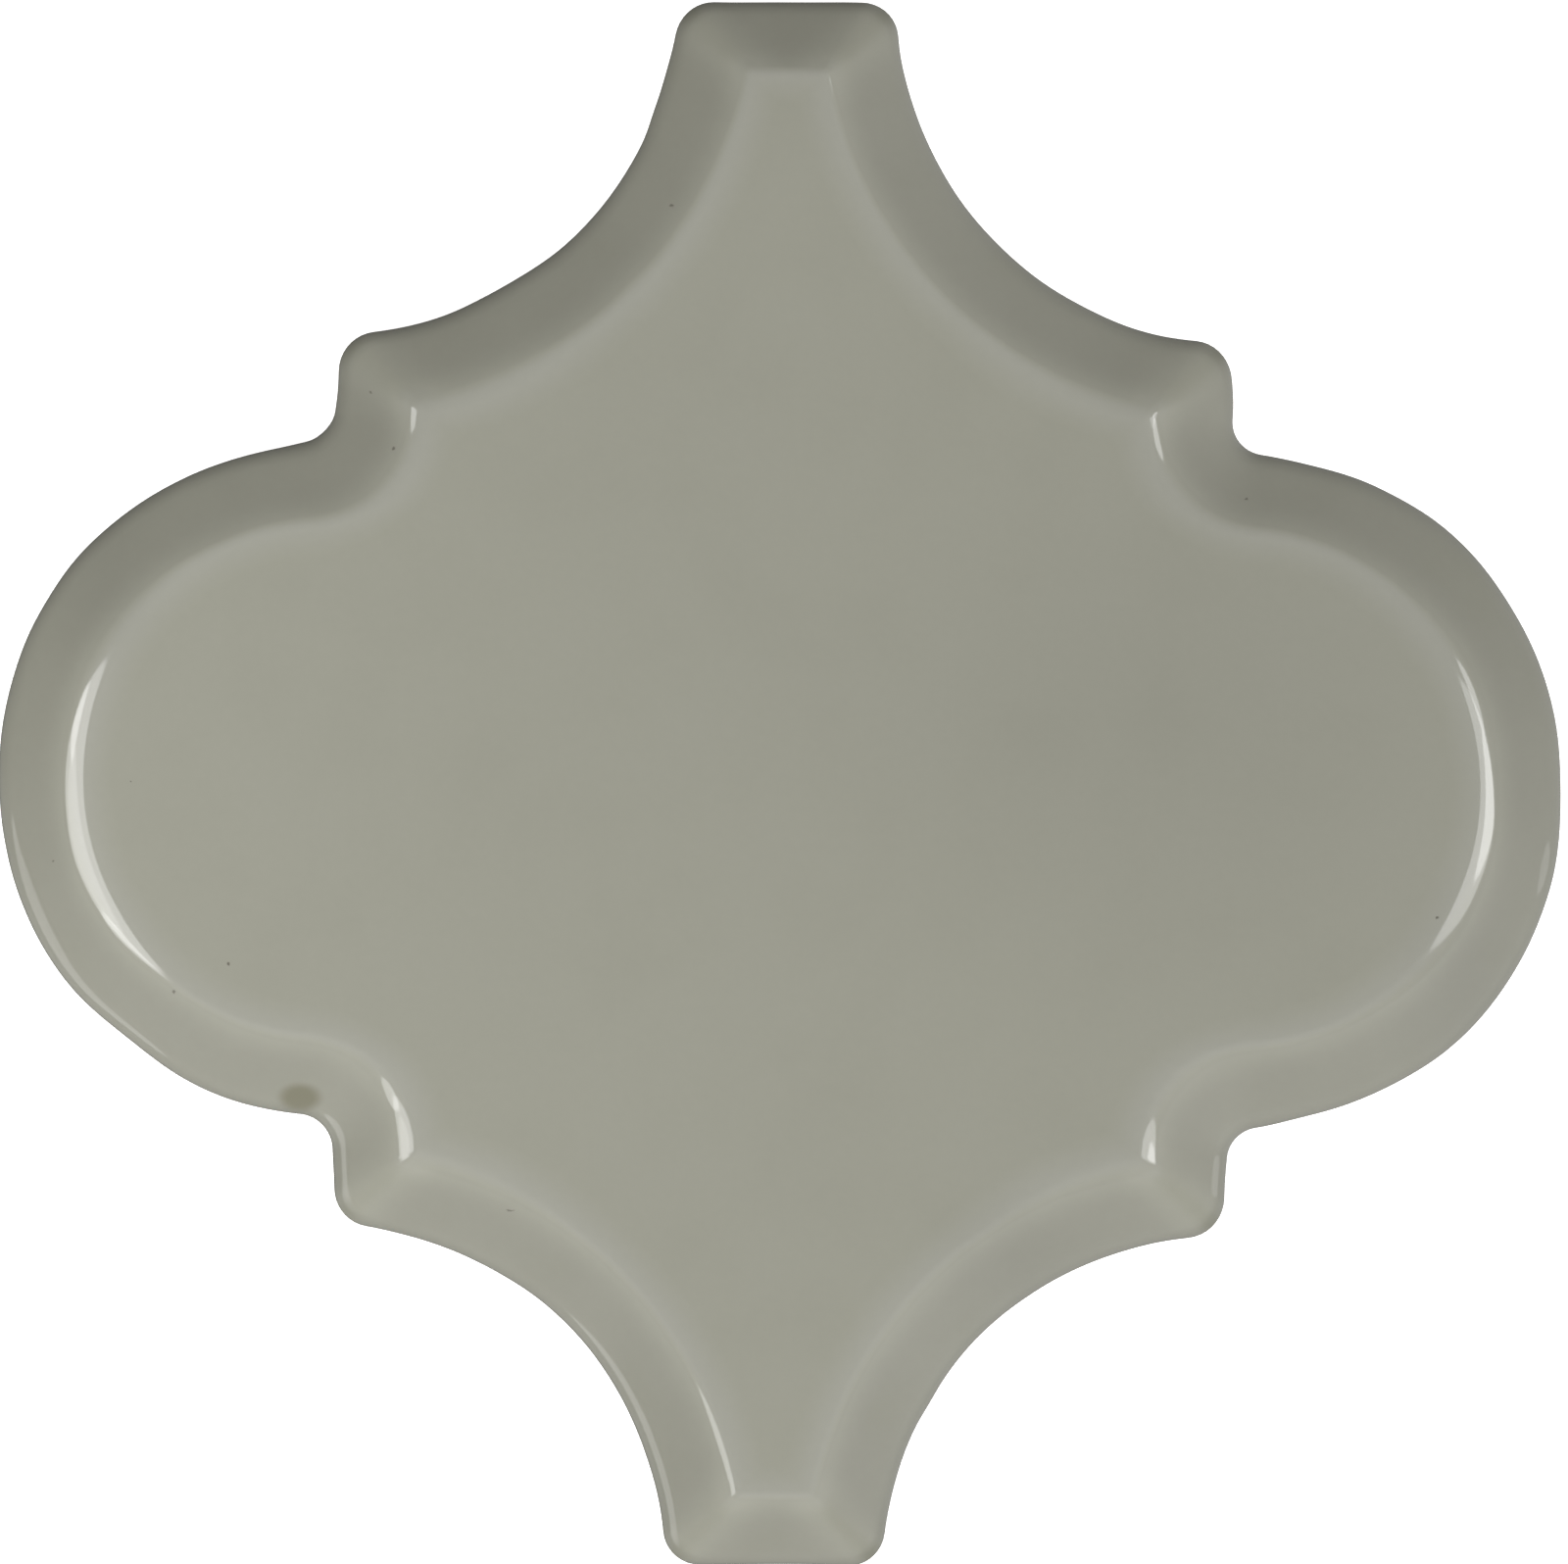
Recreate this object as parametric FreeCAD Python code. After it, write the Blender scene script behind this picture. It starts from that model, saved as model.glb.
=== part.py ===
# Arabesque (lantern) wall tile: one pressed and glazed ceramic piece, with a bevelled face and a keyed back.
# It lies on its back. The origin is the middle of the back, +X runs along the two side lobes, +Y along the
# two necks and +Z out of the glazed face.
import FreeCAD
import Part

import math
import os

from FreeCAD import Vector

# Plan outline, in millimetres. The tile is a neck and four lobe radii wide, and four lobe radii and two
# steps high, so that each hollow takes the lobe of a neighbouring tile.
LOBE_RADIUS = 31.8  # the two side lobes, and the four hollows between lobes and necks
NECK_WIDTH = 20.8  # each flat neck end, measured to the square corners
STEP_HEIGHT = 10.4  # from the top of a lobe up to the shoulder of the hollow above it
SHOULDER_ROUND = 3.7  # rounding of the four shoulders
NECK_ROUND = 3.6  # rounding of the four neck corners
NOTCH_ROUND = 3.2  # rounding in the corner between a lobe and its step

# Section
THICKNESS = 9.0  # back to the flat middle of the face
BEVEL_WIDTH = 7.0  # the sloping border, in plan
BEVEL_DROP = 3.2  # fall of the border from the flat middle to the rim
MITRE_ROUND = 4.5  # rounding of the ridges that run in from the corners, where two runs of the border meet
CREST_ROUND = 4.6  # rounding of the border's inner edge
RIM_ROUND = 1.5  # rounding of the border's outer edge
FOOT_CHAMFER = 0.5  # edge round the back

# Keying on the back: parallel pressed grooves inside a plain margin
KEY_MARGIN = 9.0  # flat border left round the grooves
KEY_PITCH = 9.0  # groove to groove
KEY_WIDTH = 5.0  # each groove at its mouth
KEY_DEPTH = 0.8
KEY_DRAFT = 30.0  # lean of each groove wall, in degrees from upright

# Places that follow from the sizes
RIM_HEIGHT = THICKNESS - BEVEL_DROP
LOBE_X = NECK_WIDTH / 2 + LOBE_RADIUS  # centre of a lobe, and the line of its steps
NECK_Y = 2 * LOBE_RADIUS + STEP_HEIGHT  # neck end, and the centres of the hollows beside it
SHOULDER_Y = NECK_Y - LOBE_RADIUS
NOTCH_Y = math.sqrt((LOBE_RADIUS + NOTCH_ROUND) ** 2 - NOTCH_ROUND**2)  # centre of the notch rounding
LOBE_END = math.atan2(NOTCH_Y, NOTCH_ROUND)  # plan angle at which a lobe runs into its notch
OVERRUN = NOTCH_ROUND / 2  # how far the cuts run past the edges that they make

ORIGIN = Vector(0, 0, 0)
ACROSS = Vector(1, 0, 0)
ALONG = Vector(0, 1, 0)
UP = Vector(0, 0, 1)
SHARP = 0.1  # faces that meet at more than this angle, in radians, leave an edge to be rounded


def mirrored(shapes, normal):
    """The shapes, and their mirror images in the plane through the origin with that normal."""
    return shapes + [shape.mirror(ORIGIN, normal) for shape in shapes]


def line(x1, y1, x2, y2):
    return Part.LineSegment(Vector(x1, y1), Vector(x2, y2)).toShape()


def arc(x, y, radius, start, end):
    """Arc about (x, y) in the plane of the back, from one plan angle to another."""
    points = [
        Vector(x + radius * math.cos(angle), y + radius * math.sin(angle))
        for angle in (start, (start + end) / 2, end)
    ]
    return Part.Arc(*points).toShape()


def wire(edges):
    return Part.Wire(Part.__sortEdges__(edges))


def lobe_edges():
    """The +X lobe and the notch at each end of it."""
    lobe = arc(LOBE_X, 0, LOBE_RADIUS, -LOBE_END, LOBE_END)
    notch = arc(LOBE_X + NOTCH_ROUND, NOTCH_Y, NOTCH_ROUND, math.pi + LOBE_END, math.pi)
    return [lobe, *mirrored([notch], ALONG)]


def outline():
    """Plan outline of the tile on its back, with square shoulders and neck corners."""
    step = line(LOBE_X, NOTCH_Y, LOBE_X, SHOULDER_Y)
    hollow = arc(LOBE_X, NECK_Y, LOBE_RADIUS, -math.pi / 2, -math.pi)
    neck_end = line(-NECK_WIDTH / 2, NECK_Y, NECK_WIDTH / 2, NECK_Y)
    side = lobe_edges() + mirrored([step, hollow], ALONG)
    return wire(mirrored(side, ACROSS) + mirrored([neck_end], ALONG))


def upright_edges(solid, x, y):
    """Upright edges at (x, y) and at its mirror images."""

    def stands_there(vertex):
        return math.isclose(abs(vertex.X), x) and math.isclose(abs(vertex.Y), y)

    upright = [edge for edge in solid.Edges if math.isclose(edge.Length, THICKNESS)]
    return [edge for edge in upright if all(stands_there(vertex) for vertex in edge.Vertexes)]


def blank():
    """The pressed slab: the outline at full thickness, with its shoulders and neck corners rounded."""
    slab = Part.Face(outline()).extrude(UP * THICKNESS)
    slab = slab.makeFillet(SHOULDER_ROUND, upright_edges(slab, LOBE_X, SHOULDER_Y))
    return slab.makeFillet(NECK_ROUND, upright_edges(slab, NECK_WIDTH / 2, NECK_Y))


def bevel_run(edges, inward):
    """What the sloping border takes off along a smooth run of the outline, past the rim and past the face.

    inward points into the tile at the start of the run.
    """
    run = wire(edges)
    slope = BEVEL_DROP / BEVEL_WIDTH
    rim, crest = -OVERRUN, BEVEL_WIDTH + OVERRUN
    section = [(rim, rim), (crest, crest), (rim, crest), (rim, rim)]
    start = run.OrderedVertexes[0].Point
    corners = [start + inward * inset + UP * (RIM_HEIGHT + rise * slope) for inset, rise in section]
    return run.makePipeShell([Part.makePolygon(corners)], True, True)


def bevel_cuts():
    """The border's runs along the lobe sides, the neck ends and the hollows. They cross at the mitres."""
    step = line(LOBE_X, NOTCH_Y, LOBE_X, SHOULDER_Y + OVERRUN)
    lobe_side = bevel_run(lobe_edges() + mirrored([step], ALONG), -ACROSS)
    neck_end = bevel_run([line(-NECK_WIDTH, NECK_Y, NECK_WIDTH, NECK_Y)], -ALONG)
    hollow = bevel_run([arc(LOBE_X, NECK_Y, LOBE_RADIUS, 0, -1.5 * math.pi)], ACROSS)
    hollows = mirrored(mirrored([hollow], ACROSS), ALONG)
    return mirrored([lobe_side], ACROSS) + mirrored([neck_end], ALONG) + hollows


def facing(face, point):
    """Whether a face is a wall, a slope, flat or part of the back, at a point on it."""
    rise = face.normalAt(*face.Surface.parameter(point)).z
    if abs(rise) < SHARP:
        return "wall"
    if rise < 0:
        return "back"
    return "flat" if math.isclose(rise, 1) else "slope"


def sharp_edges(solid, kinds):
    """Edges where two faces of these kinds meet at an angle."""
    found = []
    for edge in solid.Edges:
        middle = edge.valueAt((edge.FirstParameter + edge.LastParameter) / 2)
        faces = solid.ancestorsOfType(edge, Part.Face)
        normals = [face.normalAt(*face.Surface.parameter(middle)) for face in faces]
        is_sharp = len(faces) == 2 and normals[0].getAngle(normals[1]) > SHARP
        if is_sharp and {facing(face, middle) for face in faces} == kinds:
            found.append(edge)
    return found


def key_grooves():
    """Grooves across the back with leaning walls, inside the plain margin. A rib runs along the middle."""
    field = Part.Face(outline()).makeOffset2D(-KEY_MARGIN).extrude(UP * KEY_DEPTH)
    floor = KEY_WIDTH / 2 - KEY_DEPTH * math.tan(math.radians(KEY_DRAFT))
    mouth = KEY_WIDTH / 2
    half_length = LOBE_X + LOBE_RADIUS
    section = [(-mouth, 0), (mouth, 0), (floor, KEY_DEPTH), (-floor, KEY_DEPTH), (-mouth, 0)]
    groove = Part.Face(Part.makePolygon([Vector(-half_length, y, z) for y, z in section]))
    groove = groove.extrude(ACROSS * 2 * half_length)
    pairs = int((NECK_Y - KEY_MARGIN) / KEY_PITCH)
    rows = [groove.translated(ALONG * (row + 0.5) * KEY_PITCH) for row in range(-pairs, pairs)]
    return Part.makeCompound(rows).common(field)


def tile():
    body = blank().cut(bevel_cuts()).Solids[0]
    body = body.makeFillet(MITRE_ROUND, sharp_edges(body, {"slope"}))
    body = body.makeFillet(CREST_ROUND, sharp_edges(body, {"slope", "flat"}))
    body = body.makeFillet(RIM_ROUND, sharp_edges(body, {"slope", "wall"}))
    body = body.makeChamfer(FOOT_CHAMFER, sharp_edges(body, {"wall", "back"}))
    return body.cut(key_grooves()).Solids[0]


os.makedirs("parts", exist_ok=True)
tile().exportStep("parts/arabesque_tile.step")
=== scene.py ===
import bmesh
import bpy
import math
from mathutils import Matrix, Vector, noise


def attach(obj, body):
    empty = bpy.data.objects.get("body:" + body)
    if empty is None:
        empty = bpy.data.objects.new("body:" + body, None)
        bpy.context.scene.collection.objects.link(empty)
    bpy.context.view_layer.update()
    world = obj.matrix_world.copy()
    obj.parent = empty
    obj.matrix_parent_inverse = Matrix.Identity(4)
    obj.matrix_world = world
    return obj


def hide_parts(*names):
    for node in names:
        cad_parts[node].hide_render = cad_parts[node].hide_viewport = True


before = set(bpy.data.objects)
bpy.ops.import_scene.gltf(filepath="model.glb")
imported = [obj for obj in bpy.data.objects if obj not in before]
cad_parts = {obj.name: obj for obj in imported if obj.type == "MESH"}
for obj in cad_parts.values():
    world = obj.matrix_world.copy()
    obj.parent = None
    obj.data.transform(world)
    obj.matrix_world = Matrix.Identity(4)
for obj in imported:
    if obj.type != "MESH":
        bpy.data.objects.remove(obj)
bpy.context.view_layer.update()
mm = 0.001
mergeReach = 1e-4  # millimetres within which points count as one

# the tile, in millimetres: the solid's own sizes, with a rounder rim and finer forms of its own
tileShape = {
    "lobeRadius": 31.8,
    "neckWidth": 20.8,
    "stepHeight": 10.4,
    "shoulderRound": 3.7,
    "neckRound": 3.6,
    "notchRound": 3.2,
    "crestCorner": 0.35,  # plan rounding left at the corners of the flat middle
    "cornerPast": 0.6,  # how far past the border the corners come down to that rounding
    "thickness": 9.0,
    "bevelDrop": 3.2,
    "rimRound": 2.4,
    "endShare": 0.93,  # the border's width at the neck ends, as a share of that along the sides
    "footChamfer": 0.5,
    "keyMargin": 9.0,
    "keyPitch": 9.0,
    "keyWidth": 5.0,
    "keyDepth": 0.8,
    "keyDraft": 30.0,
    "glazeFoot": 1.4,  # height on the wall at which the glaze stops
    "glazeSkin": 0.12,  # how far the glaze stands out from the bare wall
    "footWobble": 0.7,
    "footSeed": 50,
    "wobble": 0.09,  # fine unevenness of the pressed outline
    "wobbleScale": 7.0,
    "fullPush": 0.35,  # level part of a normal from which a dent moves its point in full
    "sharpAngle": 35.0,  # degrees between faces above which an edge is drawn sharp
}

# the border's width and its inner edge's rounding: lobe tips, lobe sides, notches, hollows
tileCrests = [(7.15, 5.6), (7.3, 3.0), (7.5, 5.6), (7.3, 3.3)]
# distances from the middle line between which one of them gives way to the next
crestChanges = [(12, 22), (22, 28.5), (35.5, 42)]

# cuts along each run of a quarter of the outline, and across each part of its section
tileCuts = {"lobe": 64, "notch": 12, "step": 6, "shoulder": 9, "hollow": 64, "neck": 9, "neckEnd": 9}
sectionCuts = {"bare": 2, "wall": 3, "rim": 6, "border": 8, "crest": 10}

# where the pressed outline swells out or falls in: plan place, reach and how far out, in millimetres
tileDents = [
    ((-11.4, 66.5), 4, 0.28),  # upper left hollow, with a kink beside the neck
    ((-12, 63), 2, 0.14),
    ((-16.5, 55), 13, 0.28),
    ((-28, 45.8), 7, 0.36),
    ((-43.2, 32.6), 3, 0.55),  # upper left notch, a little filled
    ((-67, 19.5), 12, 0.34),  # left lobe, above its tip, at it and below
    ((-74, -0.6), 5, -0.05),
    ((-62, -25), 6, -0.5),
    ((-41.6, -40), 5, -0.34),  # lower left shoulder and hollow
    ((-20, -51.5), 7, -0.16),
    ((2, -74), 10, -0.24),  # lower neck end
    ((14.2, -58.2), 2, 0.1),  # lower right hollow, shoulder and notch
    ((33, -43), 11, 0.22),
    ((44, -32.6), 4, 0.42),
    ((64, -23), 10, 0.55),  # right lobe, round from below to above
    ((71.5, -11), 7, 0.18),
    ((74, 1), 7, -0.27),
    ((63.5, 24), 6, 0.27),
    ((49.5, 31), 5, -0.2),
    ((42.2, 36.5), 3, 0.28),  # upper right step, shoulder and hollow
    ((36, 42.8), 6, -0.2),
    ((10.7, 69.5), 4, -0.12),
    ((-4, 74), 7, -0.12),  # upper neck end
]

# how deep the glaze lies, from 0 on the crest, where it runs thin, to 1 in the dip of the border
glazeDepth = {
    "wall": 0.75,
    # the rounded rim gets the border's depth, which darkens it as painted shade
    "rim": 0.99,
    "border": 0.99,
    "crestFoot": 0.68,
    "flat": 0.5,
    "full": 1.0,
    "deepest": 0.5,  # share of the slope at which the glaze lies deepest
    "thinning": (0.1, 0.75),  # shares of the crest's rounding between which it runs thin
    # rings on the flat: how far past the crest, and the share of the flat's depth there
    "flatRings": [(0.12, 0.03), (0.8, 0.3), (1.7, 0.68), (2.7, 1)],
    "mitreLoss": 0.42,  # thinner on the ridges that run in from the corners
    "mitreReach": 2.4,
    "notchLoss": 0.08,  # thinner on the steps and their inner corners
    "notchReach": 7.0,
    "rimFade": 0.5,  # heights over which both losses fade out at the rim and at the face
    "faceFade": 0.4,
    "ridgeReach": 1.1,  # how far from a ridge its gloss is lost
    "ridgeTop": 0.3,  # how far below the face that starts, and over what height
    "ridgeFade": 0.5,
}


def spinOn(bm, vert, centre, turn, cuts):  # carry a vertex round a centre, leaving edges behind it
    result = bmesh.ops.spin(bm, geom=[vert], cent=centre, axis=(0, 0, 1), angle=turn, steps=cuts)
    return [g for g in result["geom_last"] if isinstance(g, bmesh.types.BMVert)][0]


def stretchOn(bm, vert, goal, cuts):  # carry a vertex straight to a goal
    start = vert.co.copy()
    for cut in range(1, cuts + 1):
        vert = bmesh.ops.extrude_vert_indiv(bm, verts=[vert])["verts"][0]
        vert.co = start.lerp(goal, cut / cuts)
    return vert


def angleOf(point, centre):
    return math.atan2(point[1] - centre[1], point[0] - centre[0])


def circlesMeet(centreA, radiusA, centreB, radiusB):  # the crossing on the left of the way from A to B
    way = centreB - centreA
    along = (way.length_squared + radiusA**2 - radiusB**2) / (2 * way.length)
    aside = math.sqrt(radiusA**2 - along**2)
    way.normalize()
    return centreA + way * along + Vector((-way.y, way.x, 0)) * aside


def shareOf(value, low, high):  # 0 below low, 1 above high and smooth between them
    part = max(0.0, min(1.0, (value - low) / (high - low)))
    return part * part * (3 - 2 * part)


def quarterRing(bm, s, inset, height):  # a quarter of the outline, moved in, from lobe tip to neck end
    radius, notch = s["lobeRadius"], s["notchRound"]
    lobeX = s["neckWidth"] / 2 + radius
    neckY = 2 * radius + s["stepHeight"]
    notchY = math.sqrt((radius + notch) ** 2 - notch**2)
    lobeTurn = math.atan2(notchY, notch)
    taper = min(1.0, inset / (s["bevelWidth"] + s["cornerPast"]))
    shoulder = s["shoulderRound"] + (s["crestCorner"] - s["shoulderRound"]) * taper
    neck = s["neckRound"] + (s["crestCorner"] - s["neckRound"]) * taper
    endInset = inset * s["endShare"]

    def outTo(corner, edge):  # distance along one axis from the hollow's centre to a corner's
        return math.sqrt((radius + inset + corner) ** 2 - (edge + corner) ** 2)

    notchCentre = Vector((lobeX + notch, notchY, height))
    hollowCentre = Vector((lobeX, neckY, height))
    shoulderCentre = Vector((lobeX - inset - shoulder, neckY - outTo(shoulder, inset), height))
    neckCentre = Vector((lobeX - outTo(neck, endInset), neckY - endInset - neck, height))
    before = set(bm.edges)
    vert = bm.verts.new((lobeX + radius - inset, 0, height))
    vert = spinOn(bm, vert, (lobeX, 0, height), lobeTurn, tileCuts["lobe"])
    if shoulderCentre.y > notchY:
        vert = spinOn(bm, vert, notchCentre, -lobeTurn, tileCuts["notch"])
        vert = stretchOn(bm, vert, Vector((lobeX - inset, shoulderCentre.y, height)), tileCuts["step"])
        vert = spinOn(bm, vert, shoulderCentre, angleOf(hollowCentre, shoulderCentre), tileCuts["shoulder"])
    else:  # so far in that the notch runs straight into the hollow
        corner = circlesMeet(notchCentre, notch + inset + shoulder, hollowCentre, radius + inset + shoulder)
        notchTurn = angleOf(corner, notchCentre) % math.tau - math.pi - lobeTurn
        vert = spinOn(bm, vert, notchCentre, notchTurn, tileCuts["notch"])
        cornerTurn = angleOf(hollowCentre, corner) - angleOf(notchCentre, corner)
        vert = spinOn(bm, vert, corner, cornerTurn, tileCuts["step"] + tileCuts["shoulder"])
    hollowTurn = angleOf(neckCentre, hollowCentre) - angleOf(vert.co, hollowCentre)
    vert = spinOn(bm, vert, hollowCentre, hollowTurn, tileCuts["hollow"])
    vert = spinOn(bm, vert, neckCentre, math.pi / 2 - angleOf(hollowCentre, neckCentre), tileCuts["neck"])
    stretchOn(bm, vert, Vector((0, neckY - endInset, height)), tileCuts["neckEnd"])
    return [edge for edge in bm.edges if edge not in before]


def borderSection(s, depths):  # (inset, height, glaze) from the foot up the wall, over the border to the flat
    slope = math.atan2(s["bevelDrop"], s["bevelWidth"])
    rimHeight = s["thickness"] - s["bevelDrop"]
    rim, crest = s["rimRound"], s["crestRound"]
    rimMiddle = rimHeight + rim * math.tan(slope) - rim / math.cos(slope)
    bare = s["glazeSkin"]
    section = [(s["footChamfer"] + bare, 0, 0), (bare, s["footChamfer"], 0), (bare, s["glazeFoot"], 0)]
    for cut in range(1, sectionCuts["wall"] + 1):
        turn = math.pi / 2 * cut / sectionCuts["wall"]
        lip = s["glazeFoot"] + 2 * bare * (1 - math.cos(turn))  # twice as high as the glaze stands out
        section.append((bare * (1 - math.sin(turn)), lip, depths["wall"]))
    for cut in range(sectionCuts["rim"] + 1):
        turn = (math.pi / 2 - slope) * cut / sectionCuts["rim"]
        section.append((rim - rim * math.cos(turn), rimMiddle + rim * math.sin(turn), depths["rim"]))
    tangent = crest * math.tan(slope / 2)
    slopeStart = section[-1][0]
    slopeEnd = s["bevelWidth"] - tangent * math.cos(slope)
    deepest = depths["deepest"]
    for cut in range(1, sectionCuts["border"]):
        part = cut / sectionCuts["border"]
        inset = slopeStart + (slopeEnd - slopeStart) * part
        side, reach = (depths["rim"], deepest) if part < deepest else (depths["crestFoot"], 1 - deepest)
        dip = 1 - ((part - deepest) / reach) ** 2
        section.append((inset, rimHeight + inset * math.tan(slope), side + (depths["border"] - side) * dip))
    crestEnd = s["bevelWidth"] + tangent
    for cut in range(sectionCuts["crest"] + 1):
        part = cut / sectionCuts["crest"]
        turn = slope * (1 - part)
        height = s["thickness"] - crest + crest * math.cos(turn)
        thinned = shareOf(part, *depths["thinning"])
        section.append((crestEnd - crest * math.sin(turn), height, depths["crestFoot"] * (1 - thinned)))
    for further, share in depths["flatRings"]:
        section.append((crestEnd + further, s["thickness"], depths["flat"] * share))
    return section


def changingRing(bm, shapes, points):  # a quarter ring that takes its shape from one border after the other
    start = len(bm.verts)
    ring = quarterRing(bm, shapes[0], *points[0])
    bm.verts.ensure_lookup_table()
    for shape, point, (low, high) in zip(shapes[1:], points[1:], crestChanges):
        twin = bmesh.new()
        quarterRing(twin, shape, *point)
        for vert, goal in zip(bm.verts[start:], twin.verts[:]):
            vert.co = vert.co.lerp(goal.co, shareOf(vert.co.y, low, high))
        twin.free()
    return ring


def keyLean(s):  # how far in plan the wall of a groove leans
    return s["keyDepth"] * math.tan(math.radians(s["keyDraft"]))


def makeTile(s, depths):
    bm = bmesh.new()
    glaze = bm.verts.layers.float.new("glaze")
    key = bm.verts.layers.float.new("key")  # 0 at the keyed field's edge, 1 where grooves have full depth
    shapes = [{**s, "bevelWidth": width, "crestRound": rounding} for width, rounding in tileCrests]
    rings = []
    for points in zip(*(borderSection(shape, depths) for shape in shapes)):
        ring = changingRing(bm, shapes, [point[:2] for point in points])
        for edge in ring:
            for vert in edge.verts:
                vert[glaze] = points[0][2]
        rings.append(ring)
    bareFaces = []
    for count, (lower, upper) in enumerate(zip(rings, rings[1:])):
        faces = bmesh.ops.bridge_loops(bm, edges=lower + upper)["faces"]
        bareFaces += faces if count < sectionCuts["bare"] else []
    backShape = {**shapes[-1], "endShare": 1}
    keyInsets = s["keyMargin"], s["keyMargin"] + keyLean(s)
    back = [rings[0]] + [quarterRing(bm, backShape, inset, 0) for inset in keyInsets]
    for edge in back[-1]:
        for vert in edge.verts:
            vert[key] = 1
    for outer, inner in zip(back, back[1:]):
        bareFaces += bmesh.ops.bridge_loops(bm, edges=outer + inner)["faces"]
    for face in bareFaces:
        face.material_index = 1
    print("a quarter bridged:", len(rings), "rings,", len(bm.faces), "faces")
    for axis in "XY":
        geom = bm.verts[:] + bm.edges[:] + bm.faces[:]
        bmesh.ops.mirror(bm, geom=geom, matrix=Matrix(), merge_dist=mergeReach, axis=axis)
    bmesh.ops.remove_doubles(bm, verts=bm.verts, dist=mergeReach)
    openEdges = [edge for edge in bm.edges if edge.is_boundary]
    for level, slot in ((0, 1), (s["thickness"], 0)):
        loop = [edge for edge in openEdges if abs(edge.verts[0].co.z - level) < mergeReach]
        for face in bmesh.ops.contextual_create(bm, geom=loop)["faces"]:
            face.material_index = slot
    bmesh.ops.recalc_face_normals(bm, faces=bm.faces)
    return bm


def pressKeys(bm, s):  # parallel grooves with leaning walls, cut in the field of the back and then pushed in
    key = bm.verts.layers.float["key"]
    lean = keyLean(s)
    half = s["keyWidth"] / 2
    field = [face for face in bm.faces if any(vert[key] > 0 for vert in face.verts)]
    rows = int((2 * s["lobeRadius"] + s["stepHeight"] - s["keyMargin"]) / s["keyPitch"])
    for row in range(-rows, rows):
        for side in (-half, lean - half, half - lean, half):
            level = (row + 0.5) * s["keyPitch"] + side
            edges = {edge for face in field for edge in face.edges}
            verts = {vert for face in field for vert in face.verts}
            cut = bmesh.ops.bisect_plane(
                bm, geom=[*field, *edges, *verts], dist=mergeReach, plane_co=(0, level, 0), plane_no=(0, 1, 0)
            )
            field = [g for g in cut["geom"] if isinstance(g, bmesh.types.BMFace)]
    for vert in {vert for face in field for vert in face.verts}:
        aside = abs(vert.co.y / s["keyPitch"] % 1 - 0.5) * s["keyPitch"]
        vert.co.z = s["keyDepth"] * max(0, min(1, (half - aside) / lean, vert[key]))
    bm.verts.layers.float.remove(key)
    print("grooves pressed in the back:", 2 * rows, "over", len(field), "faces")


def farFromLine(place, start, end):
    way = end - start
    along = max(0, min(1, (place - start).dot(way) / way.length_squared))
    return (place - start - way * along).length


def fallOff(distance, reach):  # 1 at the middle, fading smoothly
    return math.exp(-((distance / reach) ** 2))


def layGlaze(bm, s, depths):  # thinner on the mitre ridges and in the notches, and less glossy on the ridges
    glaze = bm.verts.layers.float["glaze"]
    softness = bm.verts.layers.float.new("ridge")
    lobeX = s["neckWidth"] / 2 + s["lobeRadius"]
    neckY = 2 * s["lobeRadius"] + s["stepHeight"]
    notch = Vector((lobeX, s["lobeRadius"]))
    width = tileCrests[-1][0]
    hollowOut = math.sqrt((s["lobeRadius"] + width) ** 2 - width**2)
    mitres = [
        (Vector((lobeX, neckY - s["lobeRadius"])), Vector((lobeX - width, neckY - hollowOut))),
        (Vector((s["neckWidth"] / 2, neckY)), Vector((lobeX - hollowOut, neckY - width * s["endShare"]))),
    ]
    rimHeight = s["thickness"] - s["bevelDrop"]
    for vert in bm.verts:
        place = Vector((abs(vert.co.x), abs(vert.co.y)))
        aboveRim = vert.co.z - rimHeight
        belowFace = s["thickness"] - vert.co.z
        onBorder = min(1, max(0, aboveRim / depths["rimFade"]), max(0, belowFace / depths["faceFade"]))
        ridge = min(farFromLine(place, *mitre) for mitre in mitres)
        mitreLoss = depths["mitreLoss"] * fallOff(ridge, depths["mitreReach"])
        notchLoss = depths["notchLoss"] * fallOff((place - notch).length, depths["notchReach"])
        vert[glaze] -= (mitreLoss + notchLoss) * onBorder
        belowCrest = max(0, min(1, (belowFace - depths["ridgeTop"]) / depths["ridgeFade"]))
        vert[softness] = fallOff(ridge, depths["ridgeReach"]) * belowCrest


def pressUnevenly(bm, s):  # swell and dent the outline along its own outward way, and not at all on the flats
    bm.normal_update()
    lipTop = s["glazeFoot"] + 3 * s["glazeSkin"]  # just clear of the glaze's lip
    pushes = {}
    for vert in bm.verts:
        place = vert.co.xy
        push = s["wobble"] * noise.noise(Vector((place.x, place.y, 0)) / s["wobbleScale"])
        for spot, reach, rise in tileDents:
            push += rise * fallOff((place - Vector(spot)).length, reach)
        out = vert.normal.xy
        share = min(1, out.length / s["fullPush"]) if vert.co.z > 0 else 0
        pushes[vert] = out.normalized() * push * share
    for vert, push in pushes.items():
        vert.co.xy += push
        if s["footChamfer"] < vert.co.z < lipTop:
            place = Vector((*vert.co.xy, s["footSeed"])) / s["wobbleScale"]
            vert.co.z += s["footWobble"] * noise.noise(place)


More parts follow.
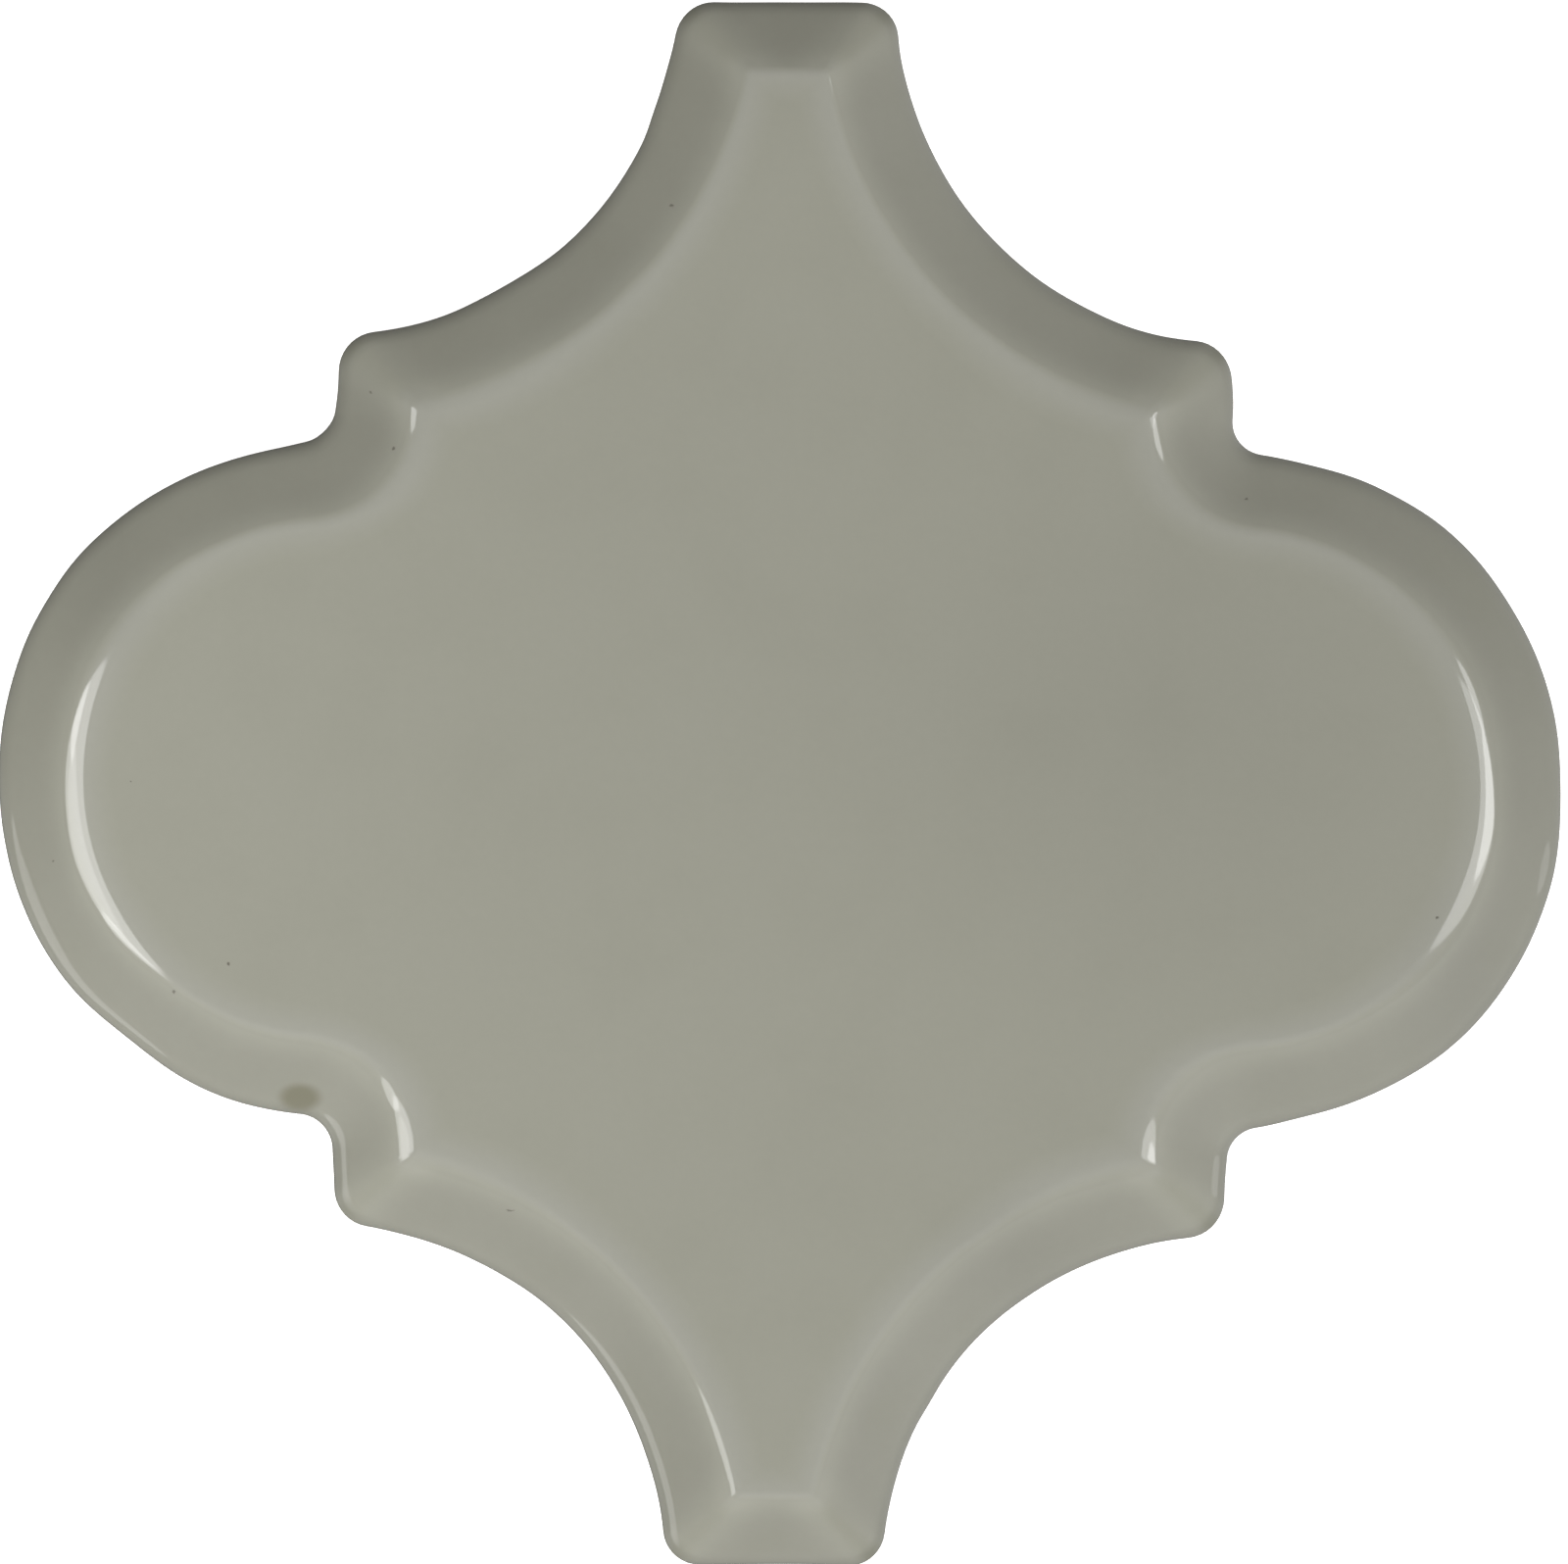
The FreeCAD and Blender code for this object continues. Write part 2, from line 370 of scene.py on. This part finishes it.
bm = makeTile(tileShape, glazeDepth)
layGlaze(bm, tileShape, glazeDepth)
pressUnevenly(bm, tileShape)
pressKeys(bm, tileShape)
closed = all(edge.is_manifold for edge in bm.edges)
print("closed:", closed, "volume in mm3:", round(bm.calc_volume(signed=True)))
bmesh.ops.scale(bm, vec=(mm, mm, mm), verts=bm.verts)
for face in bm.faces:
    face.smooth = True
mesh = bpy.data.meshes.new("tile")
bm.to_mesh(mesh)
bm.free()
mesh.set_sharp_from_angle(angle=math.radians(tileShape["sharpAngle"]))
tileObj = bpy.data.objects.new("tile", mesh)
bpy.context.collection.objects.link(tileObj)
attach(tileObj, "root")
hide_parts("arabesque_tile")
print("tile:", len(mesh.vertices), "vertices,", len(mesh.polygons), "faces")


def setInput(tree, socket, value):  # link a socket, or set a plain value
    if isinstance(value, bpy.types.NodeSocket):
        tree.links.new(value, socket)
    else:
        socket.default_value = value


def addNode(tree, kind, inputs=None, **settings):
    node = tree.nodes.new(kind)
    for name, value in settings.items():
        setattr(node, name, value)
    for name, value in (inputs or {}).items():
        setInput(tree, node.inputs[name], value)
    return node


def mathNode(tree, operation, *values):
    return addNode(tree, "ShaderNodeMath", dict(enumerate(values)), operation=operation).outputs[0]


def vectorNode(tree, operation, *values):
    return addNode(tree, "ShaderNodeVectorMath", dict(enumerate(values)), operation=operation)


def noiseNode(tree, vector, scale, detail=2, roughness=0.5):
    inputs = {"Vector": vector, "Scale": scale, "Detail": detail, "Roughness": roughness}
    return addNode(tree, "ShaderNodeTexNoise", inputs)


def mixColor(tree, factor, first, second, blend="MIX"):
    inputs = {0: factor, 6: first, 7: second}  # the colour sockets of a node that also mixes numbers
    return addNode(tree, "ShaderNodeMix", inputs, data_type="RGBA", blend_type=blend).outputs[2]


def shadeColor(tree, color, shade):  # a colour made lighter or darker by a number
    grey = addNode(tree, "ShaderNodeCombineColor", {0: shade, 1: shade, 2: shade}).outputs[0]
    return mixColor(tree, 1.0, color, grey, "MULTIPLY")


def bumpNode(tree, height, distance):  # distance in millimetres
    inputs = {"Height": height, "Distance": distance * mm, "Strength": 1.0}
    return addNode(tree, "ShaderNodeBump", inputs).outputs[0]


def readAttribute(tree, name):
    return addNode(tree, "ShaderNodeAttribute", attribute_name=name).outputs["Fac"]


def newMaterial(name):
    material = bpy.data.materials.new(name)
    material.use_nodes = True
    return material, material.node_tree.nodes["Principled BSDF"].inputs


# sage grey glaze, light where it runs thin and olive where it pools; bumps and offsets in millimetres
glazeLook = {
    "thin": (0.221, 0.221, 0.189, 1),
    "flat": (0.2035, 0.203, 0.1665, 1),
    "deep": (0.161, 0.16, 0.129, 1),
    "pooled": (0.13, 0.132, 0.09, 1),
    "pooledDepth": 1.25,  # depth at which the glaze has that tone in full
    "speck": (0.085, 0.08, 0.064, 1),
    "pool": (0.108, 0.103, 0.068, 1),
    "cloudScale": 95.0,
    "cloudDepth": 0.24,  # how much the depth varies in soft clouds
    "driftScale": 24.0,
    "driftShade": 0.06,
    "grainScale": 1100.0,
    "grainShade": 0.04,
    "raggedScale": 2600.0,
    "ragged": 0.4,  # how far the edges of the specks stray
    "speckSoft": 0.8,
    "poolSoft": 0.6,
    "toneAndShadeSoft": 1.0,
    "roughness": 0.035,
    "roughnessSpread": 0.05,
    "coatRoughness": 0.06,
    "coatLoss": 0.75,  # gloss lost on the mitre ridges
    "ior": 1.55,
    "swellScale": 60.0,
    "swell": 0.05,
}
# dark specks in the glaze: plan place and half size in millimetres
glazeSpecks = [
    ((-10.8, 54.4), (0.26, 0.2)),
    ((-39.0, 36.6), (0.18, 0.2)),
    ((-36.8, 31.3), (0.24, 0.2)),
    ((-61.2, -0.3), (0.16, 0.16)),
    ((-68.5, -7.9), (0.18, 0.15)),
    ((-51.8, -17.4), (0.24, 0.19)),
    ((-57.0, -20.1), (0.2, 0.17)),
    ((61.9, -12.0), (0.22, 0.18)),
    ((43.6, 27.3), (0.2, 0.18)),
    ((-25.1, -40.4), (0.55, 0.14)),
]
# olive pools: plan place and half size in millimetres
glazePools = [((-45.1, -30.0), (2.6, 1.7))]
# wide, faint changes of brightness painted into the colour: plan place, half size in millimetres and strength
glazeToneAndShadePatches = [
    # on the flat: painted shade over the right part and painted light near the top
    ((40, 6), (44, 36), -0.055),  # the flat
    ((0, 52), (22, 20), 0.035),
    ((-39.5, 34.5), (8, 8), -0.1),  # the border
    ((23, -45), (13, 9), -0.07),
    ((64.5, -19), (9, 14), -0.08),
    ((-64, 19), (8, 13), -0.07),
    ((39.5, -36), (7, 7), 0.06),
]


def spotMask(tree, place, spot, size, soft):  # 1 inside an ellipse seen from above, fading to 0 at its edge
    scale = (1 / (size[0] * mm), 1 / (size[1] * mm), 0)
    offset = (-spot[0] * mm * scale[0], -spot[1] * mm * scale[1], 0)
    moved = addNode(tree, "ShaderNodeMapping", {"Vector": place, "Location": offset, "Scale": scale})
    reach = vectorNode(tree, "LENGTH", moved.outputs[0]).outputs["Value"]
    inputs = {"Value": reach, "From Min": 1.0, "From Max": 1 - soft, "To Min": 0.0, "To Max": 1.0}
    return addNode(tree, "ShaderNodeMapRange", inputs, interpolation_type="SMOOTHSTEP").outputs[0]


def raggedPlace(tree, place, s):  # the place, strayed a little in plan
    stray = noiseNode(tree, place, s["raggedScale"], detail=1).outputs["Color"]
    stray = vectorNode(tree, "SUBTRACT", stray, (0.5, 0.5, 0.5)).outputs[0]
    reach = s["ragged"] * mm
    return vectorNode(tree, "MULTIPLY_ADD", stray, (reach, reach, 0), place).outputs[0]


def glazeColor(tree, place, cloud, s):
    depth = mathNode(tree, "ADD", readAttribute(tree, "glaze"), -s["cloudDepth"] / 2)
    depth = mathNode(tree, "MULTIPLY_ADD", cloud, s["cloudDepth"], depth)
    depth = mathNode(tree, "MULTIPLY", depth, 1 / s["pooledDepth"])
    ramp = addNode(tree, "ShaderNodeValToRGB", {"Fac": depth})
    stops = ramp.color_ramp.elements
    stops[0].color = s["thin"]
    stops[1].color = s["pooled"]
    stops.new(glazeDepth["flat"] / s["pooledDepth"]).color = s["flat"]
    stops.new(glazeDepth["full"] / s["pooledDepth"]).color = s["deep"]
    drift = noiseNode(tree, place, s["driftScale"]).outputs["Fac"]
    grain = noiseNode(tree, place, s["grainScale"]).outputs["Fac"]
    shade = mathNode(tree, "MULTIPLY_ADD", drift, s["driftShade"], 1 - s["driftShade"] / 2)
    shade = mathNode(tree, "ADD", shade, -s["grainShade"] / 2)
    shade = mathNode(tree, "MULTIPLY_ADD", grain, s["grainShade"], shade)
    # wide patches: painted shade and painted light on the flat, darker and lighter patches on the border
    for spot, size, tone in glazeToneAndShadePatches:
        shade = mathNode(tree, "MULTIPLY_ADD", spotMask(tree, place, spot, size, s["toneAndShadeSoft"]), tone, shade)
    color = shadeColor(tree, ramp.outputs["Color"], shade)
    for spot, size in glazePools:
        color = mixColor(tree, spotMask(tree, place, spot, size, s["poolSoft"]), color, s["pool"])
    strayed = raggedPlace(tree, place, s)
    for spot, size in glazeSpecks:
        color = mixColor(tree, spotMask(tree, strayed, spot, size, s["speckSoft"]), color, s["speck"])
    return color


def makeGlaze(s):  # the gloss is a clear coat over the colour
    material, shader = newMaterial("sageGlaze")
    tree = material.node_tree
    shader["Specular IOR Level"].default_value = 0.0
    shader["Coat IOR"].default_value = s["ior"]
    shader["Coat Roughness"].default_value = s["coatRoughness"]
    place = tree.nodes.new("ShaderNodeTexCoord").outputs["Object"]
    cloud = noiseNode(tree, place, s["cloudScale"], detail=3).outputs["Fac"]
    gloss = mathNode(tree, "MULTIPLY_ADD", cloud, s["roughnessSpread"], s["roughness"])
    coat = mathNode(tree, "MULTIPLY_ADD", readAttribute(tree, "ridge"), -s["coatLoss"], 1.0)
    bump = bumpNode(tree, noiseNode(tree, place, s["swellScale"], detail=1).outputs["Fac"], s["swell"])
    tree.links.new(glazeColor(tree, place, cloud, s), shader["Base Color"])
    tree.links.new(gloss, shader["Roughness"])
    tree.links.new(coat, shader["Coat Weight"])
    tree.links.new(bump, shader["Normal"])
    tree.links.new(bump, shader["Coat Normal"])
    return material


# bare fired clay: sandy grain, small pits and faint stains
clayLook = {
    "color": (0.70, 0.62, 0.50, 1),
    "shade": 0.72,
    "grainScale": 1500.0,
    "grainShade": 0.35,
    "stainScale": 45.0,
    "stainShade": 0.22,
    "pitScale": 420.0,
    "pitSize": 0.16,  # as a share of the space between pits
    "pitShade": -0.3,
    "pitHeight": -0.8,
    "roughness": 0.74,
    "roughnessSpread": 0.2,
    "bump": 0.06,  # millimetres
}


def makeBody(s):
    material, shader = newMaterial("bareClay")
    tree = material.node_tree
    place = tree.nodes.new("ShaderNodeTexCoord").outputs["Object"]
    grain = noiseNode(tree, place, s["grainScale"], detail=4, roughness=0.6).outputs["Fac"]
    stain = noiseNode(tree, place, s["stainScale"], detail=3).outputs["Fac"]
    cells = addNode(tree, "ShaderNodeTexVoronoi", {"Vector": place, "Scale": s["pitScale"]})
    pit = mathNode(tree, "LESS_THAN", cells.outputs["Distance"], s["pitSize"])
    shade = mathNode(tree, "MULTIPLY_ADD", grain, s["grainShade"], s["shade"])
    shade = mathNode(tree, "MULTIPLY_ADD", stain, s["stainShade"], shade)
    # the pits are drawn darker as well as sunk: painted shade in them
    shade = mathNode(tree, "MULTIPLY_ADD", pit, s["pitShade"], shade)
    height = mathNode(tree, "MULTIPLY_ADD", pit, s["pitHeight"], grain)
    rough = mathNode(tree, "MULTIPLY_ADD", grain, s["roughnessSpread"], s["roughness"])
    tree.links.new(shadeColor(tree, s["color"], shade), shader["Base Color"])
    tree.links.new(rough, shader["Roughness"])
    tree.links.new(bumpNode(tree, height, s["bump"]), shader["Normal"])
    return material


mesh.materials.append(makeGlaze(glazeLook))
mesh.materials.append(makeBody(clayLook))
print("glaze and clay made")

# a pale floor that the camera sees, kept out of the glaze's reflections
floorLook = {"size": 3.0, "color": (0.95, 0.95, 0.95, 1), "roughness": 0.9, "glow": 0.6}
floorMesh = bpy.data.meshes.new("floor")
bm = bmesh.new()
bmesh.ops.create_grid(bm, x_segments=1, y_segments=1, size=floorLook["size"])
bm.to_mesh(floorMesh)
bm.free()
floorObj = bpy.data.objects.new("floor", floorMesh)
bpy.context.collection.objects.link(floorObj)
floorObj.visible_glossy = False
floorObj.visible_diffuse = False
floorMaterial, floorShader = newMaterial("paleFloor")
floorShader["Base Color"].default_value = floorLook["color"]
floorShader["Roughness"].default_value = floorLook["roughness"]
floorShader["Emission Color"].default_value = (1, 1, 1, 1)
floorShader["Emission Strength"].default_value = floorLook["glow"]
floorMesh.materials.append(floorMaterial)

# oval lights, in metres: centre, size, radiance, and turn in degrees about x, y and z
studioLights = {
    "leftLight": ((-0.166, -0.03, 0.209), (0.174, 0.129), 4.2, (0, 0, 27)),
    "leftCore": ((-0.17, -0.035, 0.207), (0.11, 0.085), 1.8, (0, 0, 27)),
    "leftGlint": ((-0.267, -0.166, 0.4), (0.2, 0.07), 4.0, (0, 0, 21.7)),
    "leftHigh": ((-0.476, 0.08, 0.81), (0.2, 0.12), 4.5, (0, 0, 0)),
    "leftPanel": ((-0.3, -0.195, 0.105), (0.19, 0.33), 1.8, (0, -90, 0)),
    "rightLight": ((0.255, -0.022, 0.409), (0.27, 0.176), 3.4, (0, 0, -8.6)),
    "rightCore": ((0.285, -0.016, 0.407), (0.17, 0.12), 4.8, (0, 0, -8.6)),
    "rightHigh": ((0.482, 0.152, 0.81), (0.2, 0.14), 4.5, (0, 0, 15)),
    "rightPanel": ((0.3, -0.052, 0.085), (0.15, 0.05), 1.2, (0, 90, 0)),
    "frontLight": ((-0.15, -0.27, 0.2), (0.24, 0.24), 2.4, (0, 0, 0)),
}
unmirrored = {"frontLight"}  # lights that the glaze doesn't reflect

# an even surround with broad glows in it
surround = {
    "strength": 0.54,
    "glows": [  # direction, sharpness and strength, dimming where it is below zero
        ((0, -1, 0), 1, 0.37),
        ((0, -0.82, 0.57), 2, 0.46),
        ((1, 0, 0), 1, 0.7),
        ((-0.71, -0.53, 0.46), 8, 0.42),
        ((0.75, -0.47, 0.47), 8, 0.48),
        ((-0.82, -0.38, -0.43), 8, 0.4),
        ((0, 1, 0), 3, -0.12),
        ((0, 0, -1), 1, -0.42),
        ((0, 0, 1), 8, -0.27),
    ],
}


def hangLight(name, centre, size, radiance, turn):
    light = bpy.data.lights.new(name, "AREA")
    light.shape = "ELLIPSE"
    light.size, light.size_y = size
    area = math.pi / 4 * size[0] * size[1]
    light.energy = radiance * math.pi * area
    obj = bpy.data.objects.new(name, light)
    obj.location = centre
    obj.rotation_euler = [math.radians(angle) for angle in turn]
    obj.visible_camera = False
    obj.visible_glossy = name not in unmirrored
    bpy.context.collection.objects.link(obj)


def makeSurround(s):
    world = bpy.data.worlds.new("studio")
    world.use_nodes = True
    tree = world.node_tree
    way = tree.nodes.new("ShaderNodeTexCoord").outputs["Generated"]
    strength = s["strength"]
    for direction, sharpness, glow in s["glows"]:
        toward = vectorNode(tree, "DOT_PRODUCT", way, direction).outputs["Value"]
        toward = mathNode(tree, "MAXIMUM", toward, 0.0)
        toward = mathNode(tree, "POWER", toward, sharpness)
        strength = mathNode(tree, "MULTIPLY_ADD", toward, glow, strength)
    background = tree.nodes["Background"].inputs
    background["Color"].default_value = (1, 1, 1, 1)
    tree.links.new(strength, background["Strength"])
    return world


for name, look in studioLights.items():
    hangLight(name, *look)
bpy.context.scene.world = makeSurround(surround)

# the camera looks straight down and is turned a little
cameraLook = {"lens": 290.4, "place": (0.000285, 0.00021, 1.2), "turn": 0.54}
cameraData = bpy.data.cameras.new("camera")
cameraData.lens = cameraLook["lens"]
camera = bpy.data.objects.new("camera", cameraData)
camera.location = cameraLook["place"]
camera.rotation_euler = (0, 0, math.radians(cameraLook["turn"]))
bpy.context.collection.objects.link(camera)
bpy.context.scene.camera = camera
bpy.context.scene.view_settings.view_transform = "Standard"
print("light and camera set")
